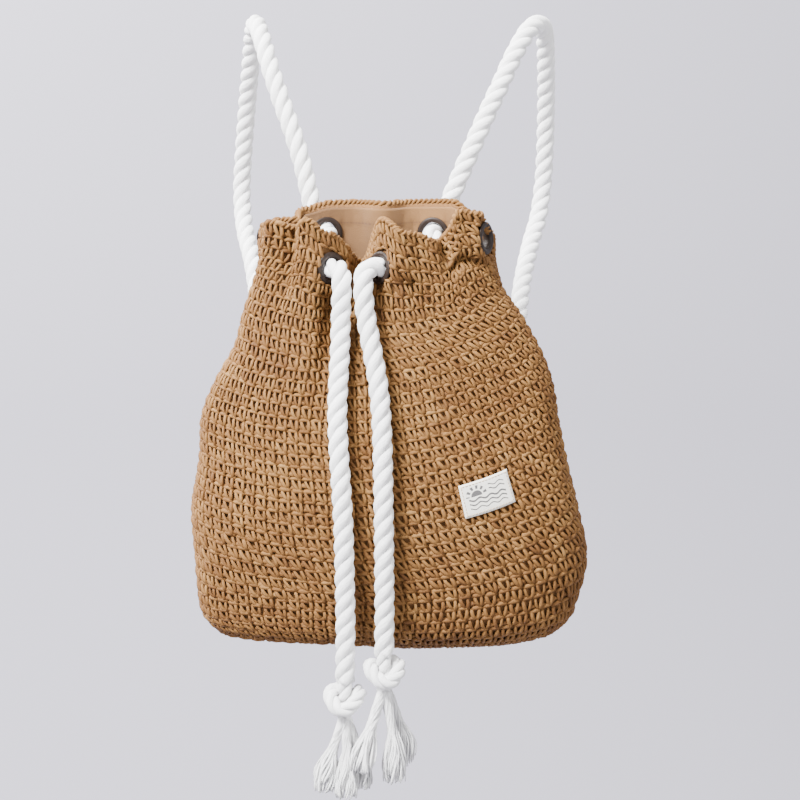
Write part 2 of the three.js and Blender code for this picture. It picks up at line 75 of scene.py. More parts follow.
STRAP_RIGHT = [
    (38.9, -103.5, -179.1), (41.4, -93.3, -179), (44.4, -86.6, -174.6), (49.5, -83.2, -161),
    (58.4, -79.5, -140), (73.2, -72, -106), (88, -62, -73), (102.2, -50, -43.5), (114.5, -37, -18),
    (128, -19, 3), (139.5, 1, 9), (146, 24, -1), (149, 47, -29), (151, 72, -75), (151, 85, -123),
    (149, 87, -153), (144.5, 77, -180), (136, 55, -204), (125.8, 15, -240), (119.6, -22, -284),
    (117, -49, -345), (116.8, -61.5, -410), (117.3, -62.3, -464), (117.4, -65, -479), (117, -71.3, -487.5),
    (116.1, -79.9, -491), (111.9, -95.3, -489.8),
]
INNER_LEFT = [
    (-53.8, -182.8, -203.6), (-57.5, -178.2, -203.7), (-62.5, -172.8, -204.6), (-72.5, -165.8, -208.5),
    (-82, -157.5, -212.5), (-86.5, -148, -212.5), (-83, -139.5, -206), (-74, -133.5, -197),
    (-64.5, -128, -187), (-58.6, -121.5, -180.4), (-57.4, -114.6, -178.6), (-59.3, -108.5, -178.5),
]
INNER_RIGHT = [
    (-7.5, -188, -202.8), (-3.1, -184.2, -203.4), (2.4, -180, -204.4), (11, -174.8, -207.5),
    (22, -169.5, -212.5), (35.5, -162, -216), (46.5, -150, -215), (49, -138, -206.5),
    (44.5, -128.5, -194.5), (38.5, -121.8, -184.5), (36.5, -115.3, -179.8), (38.8, -104.1, -179.1),
]
TAIL_LEFT = [
    (-53.5, -183.2, -203.6), (-47.5, -190.7, -203.3), (-43.7, -197.3, -205.6), (-42.6, -202.8, -213),
    (-42.8, -204.4, -226), (-43.3, -204.6, -243), (-44, -208.5, -270), (-45.4, -214, -298),
    (-46.3, -220.8, -324), (-45.3, -227.6, -354), (-43.2, -232.2, -386), (-41.4, -233.8, -420),
    (-40.4, -233.6, -460), (-39.8, -233, -510), (-40.3, -232.4, -563),
]
TAIL_RIGHT = [
    (-8, -188.4, -202.7), (-16, -195.2, -201.7), (-21.6, -200.6, -204.6), (-23.7, -205.6, -212.5),
    (-23.4, -208.4, -226), (-21.5, -209.8, -243), (-16.8, -214.2, -268), (-11.8, -219.6, -295),
    (-8.7, -224.6, -322), (-7.2, -229.4, -352), (-6.6, -233, -386), (-6.1, -234.4, -420),
    (-5.8, -234.4, -460), (-5.6, -233.8, -500), (-6, -233.4, -538),
]


class Mark:
    """One output of a shader node. Arithmetic on it adds Math nodes, and node() adds any other."""

    def __init__(self, tree, socket=None):
        self.tree = tree
        self.socket = socket

    def node(self, kind, settings=None, sockets=None, out=0):
        made = self.tree.nodes.new("ShaderNode" + kind)
        for name, value in (settings or {}).items():
            if name == "stops":
                ramp = made.color_ramp
                while len(ramp.elements) < len(value):
                    ramp.elements.new(1)
                for element, (place, colour) in zip(ramp.elements, value):
                    element.position = place
                    element.color = (*colour, 1)
            else:
                setattr(made, name, value)
        for name, value in (sockets or {}).items():
            if isinstance(value, Mark):
                self.tree.links.new(value.socket, made.inputs[name])
            else:
                made.inputs[name].default_value = value
        return Mark(self.tree, made.outputs[out] if made.outputs else None)

    def maths(self, operation, *values):
        return self.node("Math", {"operation": operation}, dict(enumerate(values)))

    def __add__(self, other):
        return self.maths("ADD", self, other)

    def __sub__(self, other):
        return self.maths("SUBTRACT", self, other)

    def __rsub__(self, other):
        return self.maths("SUBTRACT", other, self)

    def __mul__(self, other):
        return self.maths("MULTIPLY", self, other)

    def __lt__(self, other):
        return self.maths("LESS_THAN", self, other)

    def __gt__(self, other):
        return self.maths("GREATER_THAN", self, other)

    __radd__ = __add__
    __rmul__ = __mul__


def finish(name, paint, **plain):
    """A material. paint(start) gives the linked sockets of its shader, and plain the constant ones."""
    material = bpy.data.materials.new(name)
    material.use_nodes = True
    tree = material.node_tree
    shader = tree.nodes["Principled BSDF"]
    for socket, value in plain.items():
        shader.inputs[socket.replace("_", " ")].default_value = value
    for socket, mark in paint(Mark(tree)).items():
        tree.links.new(mark.socket, shader.inputs[socket])
    return material


def noise(start, vector, scale, detail=3, roughness=0.55):
    sockets = {"Vector": vector, "Scale": scale, "Detail": detail, "Roughness": roughness}
    return start.node("TexNoise", {}, sockets)


def place_of(start):
    return start.node("TexCoord", out="Object")


def stored(start, name, out="Fac"):
    """A value, or a vector, kept in an attribute of the piece's points."""
    return start.node("Attribute", {"attribute_name": name}, out=out)


def axis_of(start, vector, axis):
    return start.node("SeparateXYZ", {}, {"Vector": vector}, out=axis)


def stretched(start, name, scale):
    """A piece's own coordinates, kept in an attribute, at another scale along each axis."""
    own = stored(start, name, "Vector")
    return start.node("VectorMath", {"operation": "MULTIPLY"}, {0: own, 1: scale})


def ramp(start, factor, stops):
    return start.node("ValToRGB", {"stops": stops}, {"Fac": factor})


def blended(start, factor, low, high, how="MIX"):
    """A blend of two colours, each a tuple or the output of a node."""
    low, high = (end if isinstance(end, Mark) else (*end, 1) for end in (low, high))
    settings = {"data_type": "RGBA", "blend_type": how}
    return start.node("Mix", settings, {0: factor, 6: low, 7: high}, out=2)


def bumped(start, height, distance, strength=1.0):
    return start.node("Bump", {}, {"Height": height, "Distance": distance, "Strength": strength})


def paint_rope(start):
    fibres = noise(start, stretched(start, "grain", (160, 1700, 1700)), 1, 4, 0.6)
    soft = noise(start, stretched(start, "grain", (60, 200, 200)), 1, 2)
    clean = blended(start, 0.55 * fibres + 0.45 * soft, (0.89, 0.885, 0.885), (0.96, 0.955, 0.955))
    # Painted shade: each strand is darkened on its inner side, as shade in the grooves between the strands.
    groove_shade = ramp(start, stored(start, "tone"), [(0.0, (0.87, 0.86, 0.87)), (0.5, (1, 1, 1))])
    colour = blended(start, 1.0, clean, groove_shade, "MULTIPLY")
    return {"Base Color": colour, "Normal": bumped(start, fibres + 0.8 * soft, 0.0009)}


cotton = finish("white cotton rope", paint_rope, Roughness=0.9, Sheen_Weight=0.25)


def route_of(points, step):
    """A smooth line through points given in millimetres, as points in metres a step apart."""
    given = [Vector(point) * MM for point in points]
    ends = [2 * given[0] - given[1]] + given + [2 * given[-1] - given[-2]]
    line = []
    for i in range(1, len(ends) - 2):
        a, b, c, d = ends[i - 1:i + 3]
        pieces = max(2, math.ceil((c - b).length / (step / 4)))
        for k in range(pieces):
            t = k / pieces
            line.append(0.5 * (2 * b + (c - a) * t + (2 * a - 5 * b + 4 * c - d) * t ** 2
                               + (3 * b - a - 3 * c + d) * t ** 3))
    line = np.array(line + [ends[-2]])
    far = np.concatenate([[0], np.cumsum(np.linalg.norm(np.diff(line, axis=0), axis=1))])
    places = np.linspace(0, far[-1], max(2, round(far[-1] / step)) + 1)
    return np.stack([np.interp(places, far, line[:, k]) for k in range(3)], axis=1), places


def unit(vectors):
    return vectors / np.maximum(np.linalg.norm(vectors, axis=-1, keepdims=True), 1e-12)


def steady_frames(line):
    """Two directions across a line at each point, turned as little as they can be from point to point."""
    along = unit(np.gradient(line, axis=0))
    first = np.cross(along[0], (0.13, 0.21, 0.97) if abs(along[0][2]) < 0.9 else (0.97, 0.13, 0.21))
    across = [unit(first)]
    for before, here in zip(along, along[1:]):
        moved = across[-1] - here * np.dot(across[-1], here)
        across.append(unit(moved))
    across = np.array(across)
    return across, np.cross(along, across)


def tubes(centres, across, out, wide, thick, sides):
    """Tubes round lines of points, each as arrays of [tube, point, xyz], with closed ends."""
    count, length = centres.shape[:2]
    turn = np.arange(sides) * 2 * np.pi / sides
    wide = np.broadcast_to(wide, (count, length))[..., None, None]
    thick = np.broadcast_to(thick, (count, length))[..., None, None]
    local = np.stack([np.cos(turn), np.sin(turn)], axis=-1)
    rings = (centres[:, :, None] + across[:, :, None] * wide * local[None, None, :, :1]
             + out[:, :, None] * thick * local[None, None, :, 1:])
    index = np.arange(count * length * sides).reshape(count, length, sides)
    right = np.roll(index, -1, axis=2)
    quads = np.stack([index[:, :-1], right[:, :-1], right[:, 1:], index[:, 1:]], axis=-1).reshape(-1, 4)
    faces = quads.tolist() + index[:, 0, ::-1].tolist() + index[:, -1].tolist()
    return rings.reshape(-1, 3), faces, np.broadcast_to(local, (count, length, sides, 2))


def piece_from(name, points, faces, material, slot, **marks):
    """A smooth-shaded mesh that rides on the bag, with values or vectors kept at its points."""
    mesh = bpy.data.meshes.new(name)
    mesh.from_pydata(points, [], faces)
    mesh.update()
    for mark, values in marks.items():
        values = np.asarray(values, dtype=np.float32)
        kind, key = ("FLOAT", "value") if values.ndim == 1 else ("FLOAT_VECTOR", "vector")
        mesh.attributes.new(mark, kind, "POINT").data.foreach_set(key, values.ravel())
    mesh.polygons.foreach_set("use_smooth", [True] * len(mesh.polygons))
    piece = bpy.data.objects.new(name, mesh)
    bpy.context.scene.collection.objects.link(piece)
    piece.data.materials.append(material)
    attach(piece, "root")
    return piece


def laid_rope(name, points, size=1.0, sides=10, turn=0.0):
    """Three strands laid round a line of points, as one mesh, and that line."""
    line, places = route_of(points, ROPE_STEP)
    across, up = steady_frames(line)
    strands = []
    for strand in range(3):
        phase = (2 * np.pi * (places / (LAY * size) + strand / 3) + turn)[:, None]
        strands.append(line + size * STRAND_OFFSET * (np.cos(phase) * across + np.sin(phase) * up))
    strands = np.array(strands)
    away = unit(strands - line[None])
    run = unit(np.gradient(strands, axis=1))
    sideways = unit(np.cross(away, run))
    verts, faces, local = tubes(strands, sideways, away, size * STRAND * STRAND_WIDENED, size * STRAND,
                                sides)
    far = np.broadcast_to(places[None, :, None], local.shape[:3])
    grain = np.stack([far, local[..., 0] * STRAND, local[..., 1] * STRAND], axis=-1)
    grain = grain + np.arange(3)[:, None, None, None] * 0.7
    # Runs from 0 on the inner side of each strand to 1 on its outer side; the rope paint darkens the inner side
    # as painted shade.
    outer = 0.5 + 0.5 * local[..., 1]
    rope = piece_from(name, verts, faces, cotton, "rope", grain=grain.reshape(-1, 3), tone=outer.ravel())
    return rope, [tuple(point) for point in line[::4]] + [tuple(line[-1])], float(places[-1])


# A knot under each tail is a plain overhand knot pulled tight in the rope's own end: a band low across the
# front between two ears, with the standing part going in between them.
KNOT_SIZE = 0.76
OVERHAND = [
    (0, -2, 22), (0, -2, 12), (0, 0, 3), (2, 3, -6), (4, 9, -8), (-5, 12, -2), (-13, 6, 7), (-14, -5, 5),
    (-6, -13, -4), (5, -14, -7), (14, -6, 1), (14, 5, 8), (4, 11, 8), (-3, 6, 1), (-1, 1, -9), (0, 0, -19),
]
KNOT_TOPS = {"left": (-40.3, -232.4, -563), "right": (-6, -233.4, -538)}
KNOT_HEIGHT = 33
KNOT_SPREAD = 0.84


def overhand(name, centre, mirrored):
    flip = -1 if mirrored else 1
    points = [(centre[0] + flip * KNOT_SPREAD * x, centre[1] + KNOT_SPREAD * y, centre[2] + KNOT_SPREAD * z)
              for x, y, z in OVERHAND]
    return laid_rope(name, points, KNOT_SIZE)[0]


for side, top in KNOT_TOPS.items():
    centre = (top[0], top[1], top[2] - KNOT_HEIGHT / 2)
    overhand(f"tail_knot_{side}", centre, side == "left")
    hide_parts(f"knot_{side}")


# Below its knot each tail is unlaid into its three strands, and each of those is teased out into a soft tuft
# of cotton yarns at its end. A lock leans to one side, comes forward, and reaches a share of the length.
TASSELS = {
    "left": {"length": 73, "locks": [(-17, 2, 0.95), (2, -5, 1.00), (15, 6, 0.93)]},
    "right": {"length": 83, "locks": [(-18, -14, 0.86), (10, -5, 1.00), (18, 18, 0.90)]},
}
TUFT = 13.0
YARNS = 150
CORE = ([0, 0.12, 0.42, 0.60, 0.72], [5.0, 4.4, 3.9, 3.0, 0.6])
SPREAD = ([0, 0.12, 0.42, 0.55, 0.72, 0.88, 1.0], [4.6, 4.3, 4.1, 5.0, 0.78 * TUFT, TUFT, 0.93 * TUFT])


def lock_line(top, lean, forward, drop):
    share = np.linspace(0, 1, 14)
    sway = np.sin(share * np.pi / 2)
    return np.stack([top[0] + lean * sway + 1.6 * np.sin(share * 5) * share, top[1] + forward * sway,
                     top[2] - drop * share], axis=1) * MM, share


def tassel(side, top):
    chance = np.random.default_rng(7 if side == "left" else 19)
    length = TASSELS[side]["length"]
    verts, faces, grains, tones = [], [], [], []
    start = 0

    def keep(points, face_list, local, far, tone):
        nonlocal start
        verts.append(points)
        faces.extend([[corner + start for corner in face] for face in face_list])
        grains.append(np.stack([np.broadcast_to(far, local.shape[:3]), local[..., 0] * 0.003,
                                local[..., 1] * 0.003], axis=-1).reshape(-1, 3))
        tones.append(np.full(len(points), tone))
        start += len(points)

    for lean, forward, reach in TASSELS[side]["locks"]:
        line, share = lock_line(top, lean, forward, reach * length)
        across, up = steady_frames(line)
        girth = np.interp(share, *CORE) * MM
        keep(*tubes(line[None], across[None], up[None], girth, girth, 10), share[None, :, None] * 0.08, 0.9)
        angle = chance.uniform(0, 2 * np.pi, YARNS)
        root = np.sqrt(chance.uniform(0.15, 1, YARNS))
        ends = chance.uniform(0.86, 1.06, YARNS)
        spread = np.interp(share, *SPREAD) * MM
        twist = 2.6 * np.minimum(share, 0.5) / 0.5
        phase = angle[:, None] + twist[None] + 0.25 * np.sin(9 * share[None] + angle[:, None] * 3)
        radius = root[:, None] * spread[None] * (1 + 0.08 * chance.normal(size=(YARNS, 1)))
        reached = share[None] * ends[:, None]
        middle = np.stack([np.interp(reached, share, line[:, k]) for k in range(3)], axis=-1)
        yarns = middle + radius[..., None] * (np.cos(phase)[..., None] * across[None]
                                              + 0.8 * np.sin(phase)[..., None] * up[None])
        yarns += 0.0006 * np.sin(14 * share + chance.uniform(0, 6, (YARNS, 1)))[..., None] * across[None]
        run = unit(np.gradient(yarns, axis=1))
        wide = unit(np.cross(run, up[None]))
        deep = np.cross(run, wide)
        fat = chance.uniform(0.7, 1.1, (YARNS, 1)) * MM * np.interp(share, [0, 0.9, 1], [1, 1, 0.5])
        keep(*tubes(yarns, wide, deep, fat, fat, 4), share[None, :, None] * 0.08 + angle[:, None, None], 0.8)
    piece = piece_from(f"frayed_tassel_{side}", np.concatenate(verts), faces, cotton, "rope",
                       grain=np.concatenate(grains), tone=np.concatenate(tones))
    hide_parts(f"tassel_{side}")
    return piece


for side, top in KNOT_TOPS.items():
    tassel(side, (top[0], top[1], top[2] - KNOT_HEIGHT + 3))


# Each rope shows as three lengths: the tail, with its knot and tassel, the length inside the mouth, and the
# strap, whose end is a plain knot that can't slip out of the low eyelet.
for side, points, turn in [("left", TAIL_LEFT, TURN_LEFT), ("right", TAIL_RIGHT, TURN_RIGHT)]:
    tail, path, length = laid_rope(f"rope_tail_{side}", points, turn=turn)
    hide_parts(f"tail_{side}")

for side, points, turn in [("left", INNER_LEFT, TURN_LEFT), ("right", INNER_RIGHT, TURN_RIGHT)]:
    inner = laid_rope(f"rope_inside_{side}", points, turn=turn)[0]
    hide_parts(f"inner_rope_{side}")

for side, points in [("left", STRAP_LEFT), ("right", STRAP_RIGHT)]:
    end = points[-1]
    stop = overhand(f"rope_stop_knot_{side}", (end[0] * 0.97, end[1] - 14, end[2]), side == "left")
    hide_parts(f"stop_knot_{side}")
    strap, path, length = laid_rope(f"rope_strap_{side}", points)
    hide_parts(f"strap_{side}")


# The bag's body is one soft wall of raffia crochet, worked in rounds from an oval base and drawn in at the
# mouth. Its form is the solid model's: sections up its height, a slumped rim, and folds. Here the front edge of
# the base also sags upward by a few millimetres.
BAG_WIDTH = 354
BAG_DEPTH = 150
BAG_HEIGHT = 395
BASE_EDGE = 30
WALL = 4
RIM_SLUMP = 50
SIDE_LIFT = 30
MEAN_RADIUS = 0.37
SLUMP_FROM = 0.66
LIFT_FULL_AT = 0.22
LIFT_GONE_FROM = 0.72
TUCK_LEFT, TUCK_RIGHT = 8, 6
TUCK_GONE_AT = 0.16
TO_BASE = 545
BAG_MIDDLE = -72 - BAG_DEPTH / 2
SECTIONS = np.array([
    (0.00, 0.925, 0.880, 0.86, 0.88, 0.05), (0.08, 0.980, 0.945, 0.92, 0.92, 0.07),
    (0.19, 1.000, 1.000, 1.00, 0.96, 0.06), (0.31, 1.015, 0.950, 1.03, 0.97, 0.05),
    (0.42, 0.975, 0.890, 1.00, 0.95, 0.04), (0.52, 0.960, 0.845, 0.93, 0.90, 0.03),
    (0.60, 0.890, 0.815, 0.86, 0.84, 0.02), (0.68, 0.790, 0.745, 0.78, 0.77, 0.01),
    (0.75, 0.750, 0.655, 0.71, 0.70, 0.01), (0.81, 0.705, 0.565, 0.68, 0.68, 0.00),
    (0.87, 0.665, 0.525, 0.67, 0.67, 0.00), (0.93, 0.635, 0.510, 0.67, 0.67, 0.00),
    (1.00, 0.610, 0.490, 0.68, 0.68, 0.00),
])
LEFT, RIGHT, FRONT, BACK, CORNER = range(1, 6)
RIM = np.array([
    (-180, 0.02), (-148, 0.02), (-132, 0.12), (-112, 0.30), (-92, 0.40), (-66, 0.28), (-52, 0.40),
    (-41, 0.20), (-31, 0.45), (-17, 1.00), (-5, 0.20), (8, 0.42), (28, 0.60), (42, 0.06), (58, 0.12),
    (78, 0.45), (95, 0.70), (118, 0.34), (142, 0.00), (180, 0.02),
])
FOLDS = [
    ((-17, 1.04), (-16, 0.66), 0.062, -0.125), ((-21, 0.80), (-15, 0.42), 0.042, -0.030),
    ((-43, 1.04), (-34, 0.60), 0.050, 0.028), ((-54, 1.02), (-50, 0.64), 0.030, -0.034),
    ((-70, 1.02), (-72, 0.72), 0.045, 0.022), ((4, 1.02), (10, 0.66), 0.045, 0.020),
    ((9, 0.86), (34, 0.58), 0.024, -0.016), ((29, 1.04), (33, 0.84), 0.027, -0.046),
    ((34, 0.885), (74, 0.83), 0.017, -0.024), ((56, 1.02), (58, 0.88), 0.040, 0.022),
    ((118, 1.02), (112, 0.68), 0.045, -0.045), ((185, 1.02), (184, 0.60), 0.060, -0.050),
    ((242, 1.02), (246, 0.66), 0.045, -0.045), ((-58, 0.48), (-40, 0.20), 0.090, -0.012),
    ((38, 0.56), (62, 0.30), 0.080, -0.012), ((-27, 0.79), (-22, 0.46), 0.024, -0.045),
]


def smooth(low, high, value):
    t = np.clip((value - low) / (high - low), 0, 1)
    return t * t * (3 - 2 * t)


def section(level, which):
    keys, values = SECTIONS[:, 0], SECTIONS[:, which]
    last = len(keys) - 1
    rows = np.arange(last + 1)
    after, before = np.minimum(rows + 1, last), np.maximum(rows - 1, 0)
    slopes = (values[after] - values[before]) / (keys[after] - keys[before])
    i = np.clip(np.searchsorted(keys, level), 1, last)
    span = keys[i] - keys[i - 1]
    s = np.clip((level - keys[i - 1]) / span, 0, 1)
    rise = slopes[i - 1] * span * s * (1 - s) ** 2 - slopes[i] * span * s * s * (1 - s)
    return values[i - 1] * (1 + 2 * s) * (1 - s) ** 2 + values[i] * s * s * (3 - 2 * s) + rise


def rim_drop(angle):
    turned = (angle + 180) % 360 - 180
    i = np.clip(np.searchsorted(RIM[:, 0], turned, side="right") - 1, 0, len(RIM) - 2)
    share = smooth(RIM[i, 0], RIM[i + 1, 0], turned)
    return RIM_SLUMP * (RIM[i, 1] * (1 - share) + RIM[i + 1, 1] * share)


def fold_depth(angle, share):
    per_degree = math.radians(BAG_WIDTH * MEAN_RADIUS)
    depth = 0
    for top, foot, width, deep in FOLDS:
        x = ((angle - top[0] + 180) % 360 - 180) * per_degree
        y = (share - top[1]) * BAG_HEIGHT
        run = np.array([(foot[0] - top[0]) * per_degree, (foot[1] - top[1]) * BAG_HEIGHT])
        along = np.clip((x * run[0] + y * run[1]) / (run @ run), 0, 1)
        off = np.hypot(x - run[0] * along, y - run[1] * along) / (width * BAG_WIDTH)
        depth = depth + deep * BAG_WIDTH * np.exp(-off * off) * (1 - smooth(0, 1, along))
    return depth


def loose_wall(angle, share):
    """The bag's outer face in millimetres at angles round it and shares of its height."""
    a = np.radians(angle)
    lift = SIDE_LIFT * np.sin(a) ** 2 * smooth(0, LIFT_FULL_AT, share) * (1 - smooth(LIFT_GONE_FROM, 1, share))
    height = share * (BAG_HEIGHT - rim_drop(angle) * smooth(SLUMP_FROM, 1, share)) + lift
    turned = (angle + 180) % 360 - 180
    tucked = TUCK_LEFT * smooth(-16, 20, -turned) + TUCK_RIGHT * smooth(36, 62, turned)
    height = height + tucked * (1 - smooth(80, 150, np.abs(turned))) * (1 - smooth(0, TUCK_GONE_AT, share))
    level = height / BAG_HEIGHT
    inset = BASE_EDGE - np.sqrt(np.maximum(BASE_EDGE ** 2 - np.maximum(BASE_EDGE - height, 0) ** 2, 0))
    near, far = 0.5 + 0.5 * np.sin(a), 0.5 + 0.5 * np.cos(a)
    across = BAG_WIDTH / 2 * (section(level, LEFT) * (1 - near) + section(level, RIGHT) * near) - inset
    deep = BAG_DEPTH / 2 * (section(level, BACK) * (1 - far) + section(level, FRONT) * far) - inset
    bulge = 1 + section(level, CORNER) * np.sin(2 * a) ** 2
    out = unit(np.stack([np.sin(a) / across, -np.cos(a) / deep], axis=-1))
    out = out * fold_depth(angle, share)[..., None]
    return np.stack([across * np.sin(a) * bulge + out[..., 0],
                     deep * -np.cos(a) * bulge + out[..., 1] + BAG_MIDDLE, height - TO_BASE], axis=-1)


def facing(angle, share):
    around = loose_wall(angle + 1, share) - loose_wall(angle - 1, share)
    up = loose_wall(angle, np.minimum(share + 0.004, 1)) - loose_wall(angle, np.maximum(share - 0.004, 0))
    return unit(np.cross(around, up))


# Each eyelet sits at an angle round the bag and a height over the base. The wall is flat under its flange.
FRONT_HEIGHT = BAG_HEIGHT - 52
BACK_HEIGHT = BAG_HEIGHT - 30
LOW_HEIGHT = 48
EYELETS = {
    "front_left": (-28.5, FRONT_HEIGHT), "front_right": (-5.5, FRONT_HEIGHT), "right": (66, BACK_HEIGHT),
    "back_right": (156, BACK_HEIGHT), "back_left": (214, BACK_HEIGHT), "left": (254, BACK_HEIGHT),
    "low_right": (142, LOW_HEIGHT), "low_left": (218, LOW_HEIGHT),
}
FLANGE = 29.2
EYELET_REACH = 16
seats = {}
for name, (angle, height) in EYELETS.items():
    at = np.array([float(angle)])
    share = height / (BAG_HEIGHT - rim_drop(at) * smooth(SLUMP_FROM, 1, height / BAG_HEIGHT))
    seats[name] = (loose_wall(at, share)[0], facing(at, share)[0])


def wall(angle, share, depth=0.0):
    """The outer face pressed flat under the eyelets, and points at a depth inside it, in metres."""
    angle, share = np.broadcast_arrays(np.asarray(angle, float), np.asarray(share, float))
    point = loose_wall(angle, share)
    for centre, axis in seats.values():
        off = point - centre
        pressed = 1 - smooth(FLANGE / 2 + 2, FLANGE / 2 + 12, np.linalg.norm(off, axis=-1))
        point = point - axis * ((off @ axis) * pressed)[..., None]
    return (point - facing(angle, share) * np.asarray(depth)[..., None]) * MM


def clear_of_eyelets(points, radius):
    """Which points lie further than a radius, in millimetres, from the axis of every eyelet."""
    free = np.ones(points.shape[:-1], bool)
    for centre, axis in seats.values():
        off = points / MM - centre
        height = off @ axis
        across = np.linalg.norm(off - height[..., None] * axis, axis=-1)
        free &= (across > radius) | (np.abs(height) > EYELET_REACH)
    return free


# The stitches are single crochet in raffia. Each is a rounded V of two legs that leans a little to the left,
# with a strand crossing low behind it, a small dark hole above that, and a strand along the round at its top.
# A strand's points are shares of the cell's width and height, and of the stitch pitch outward.
WALES = 72
WALES_DRAWN_IN = 60
ROUNDS = 38
GIRTH_WIDE = 0.140
GIRTH_THICK = 0.120
LEAN = -0.34
SLANT = 0.042
TWIST = 10
PITCH_LEAST, PITCH_MOST = 9.5, 13.5
STRANDS_AT = 0.9
STRANDS_CLEAR = 11.2
STRANDS = np.array([
    [(-0.04, -0.06, -0.16), (-0.12, 0.10, 0.05), (-0.23, 0.36, 0.12), (-0.275, 0.66, 0.09),
     (-0.27, 0.96, -0.06)],
    [(0.04, -0.06, -0.16), (0.12, 0.10, 0.05), (0.23, 0.36, 0.12), (0.275, 0.66, 0.09), (0.27, 0.96, -0.06)],
    [(-0.44, 0.88, -0.08), (-0.20, 0.97, 0.03), (0.05, 1.00, 0.05), (0.30, 0.98, 0.02), (0.55, 0.90, -0.10)],
    [(0.14, 0.02, -0.14), (0.28, 0.20, -0.07), (0.44, 0.29, -0.04), (0.60, 0.24, -0.07), (0.76, 0.04, -0.14)],
])
# Per strand: the top strand is a touch darker, and the strand crossing low behind the legs is painted darker as
# shade.
STRAND_TONE_AND_SHADE = np.array([0.0, 0.0, -0.02, -0.12])
STRAND_STRAY = np.array([0.042, 0.042, 0.045, 0.070])
STRAND_GIRTH = np.array([1.0, 1.0, 1.25, 1.25])
SWELL = np.array([0.85, 1.02, 1.10, 1.04, 0.88])


def paint_raffia(start):
    fibres = noise(start, stretched(start, "grain", (260, 2600, 2600)), 1, 4, 0.65)
    blotches = noise(start, place_of(start), 22, 3)
    height = axis_of(start, place_of(start), "Z")
    # Painted shade: the raffia is darkened towards the base, where less light reaches it.
    painted_low_shade = start.node("MapRange", {}, {"Value": height, "From Min": -TO_BASE * MM, "From Max": -0.43,
                                       "To Min": 0.07, "To Max": 0.0})
    shade = 0.42 * stored(start, "tone") + 0.38 * fibres + 0.28 * blotches - painted_low_shade
    colour = ramp(start, shade, [(0.22, (0.072, 0.026, 0.006)), (0.42, (0.136, 0.057, 0.014)),
                                 (0.64, (0.212, 0.101, 0.028)), (0.88, (0.310, 0.172, 0.060))])
    return {"Base Color": colour, "Normal": bumped(start, fibres, 0.0006),
            "Roughness": 0.78 - 0.22 * fibres}


raffia = finish("raffia", paint_raffia, Specular_IOR_Level=0.25)


def stitched(name, place, angles_low, angles_high, lows, highs, seed):
    """V stitches in cells between two rounds. place(angle, share, depth) gives points in metres."""
    chance = np.random.default_rng(seed)
    count, strands, length = len(lows), len(STRANDS), STRANDS.shape[1]
    jitter = chance.normal(0, 1, (count, strands, 1, 2)) * STRAND_STRAY[None, :, None, None]
    u = 0.5 + STRANDS[None, ..., 0] + LEAN * (STRANDS[None, ..., 1] - 0.5) + jitter[..., 0]
    v = STRANDS[None, ..., 1] + jitter[..., 1]
    low = angles_low[:, :1, None] * (1 - u) + angles_low[:, 1:, None] * u
    high = angles_high[:, :1, None] * (1 - u) + angles_high[:, 1:, None] * u
    turns = low * (1 - v) + high * v
    shares = lows[:, None, None] * (1 - v) + highs[:, None, None] * v
    across = place(angles_low[:, 1], lows, 0.0) - place(angles_low[:, 0], lows, 0.0)
    pitch = np.clip(np.linalg.norm(across, axis=1) / MM, PITCH_LEAST, PITCH_MOST)[:, None, None]
    depth = STRANDS_AT - STRANDS[None, ..., 2] * pitch
    flat = (count * strands, length)
    lines = place(turns.reshape(flat), shares.reshape(flat), depth.reshape(flat))
    outward = unit(place(turns, shares, depth - 1) - place(turns, shares, depth)).reshape(lines.shape)
    run = unit(np.gradient(lines, axis=1))
    sideways = unit(np.cross(outward, run))
    outward = np.cross(run, sideways)
    girth = SWELL * STRAND_GIRTH[:, None] * pitch * MM * chance.normal(1, 0.10, (count, strands, 1))
    girth = girth.reshape(flat)
    # A random tone for each stitch and strand, plus the painted shade of the strand crossing behind.
    tone = chance.normal(0.56, 0.13, (count, 1)) + chance.normal(0, 0.11, (count, strands)) + STRAND_TONE_AND_SHADE
    free = clear_of_eyelets(lines, STRANDS_CLEAR).all(axis=1)
    lines, sideways, outward, girth, tone = (
        part[free] for part in (lines, sideways, outward, girth, tone.ravel()))
    verts, faces, local = tubes(lines, sideways, outward, girth * GIRTH_WIDE, girth * GIRTH_THICK, 5)
    far = np.cumsum(np.linalg.norm(np.diff(lines, axis=1, prepend=lines[:, :1]), axis=-1), axis=1)
    own = chance.uniform(0, 9, (len(lines), 1, 1))
    grain = np.stack([np.broadcast_to(far[..., None], local.shape[:3]) + own, local[..., 0] * 0.0018 + own,
                      local[..., 1] * 0.0016], axis=-1)
    return piece_from(name, verts, faces, raffia, "straw", grain=grain.reshape(-1, 3),
                      tone=np.repeat(tone, length * 5))


def even_angles(place, share, count):
    """Angles a stitch apart round one round, counted from the back."""
    fine = np.linspace(-180, 180, 1441)
    line = place(fine, np.full_like(fine, share), 0.0)
    far = np.concatenate([[0], np.cumsum(np.linalg.norm(np.diff(line, axis=0), axis=1))])
    return np.interp(np.linspace(0, far[-1], count + 1), far, fine)


def laid(angle, share, depth=0.0):
    """The wall as the rounds lie on it: higher on the right, with the stitches leaning as they rise."""
    slanted = share + SLANT * np.sin(np.radians(angle)) * 4 * share * (1 - share)
    return wall(angle + TWIST * (0.5 - share), slanted, depth)


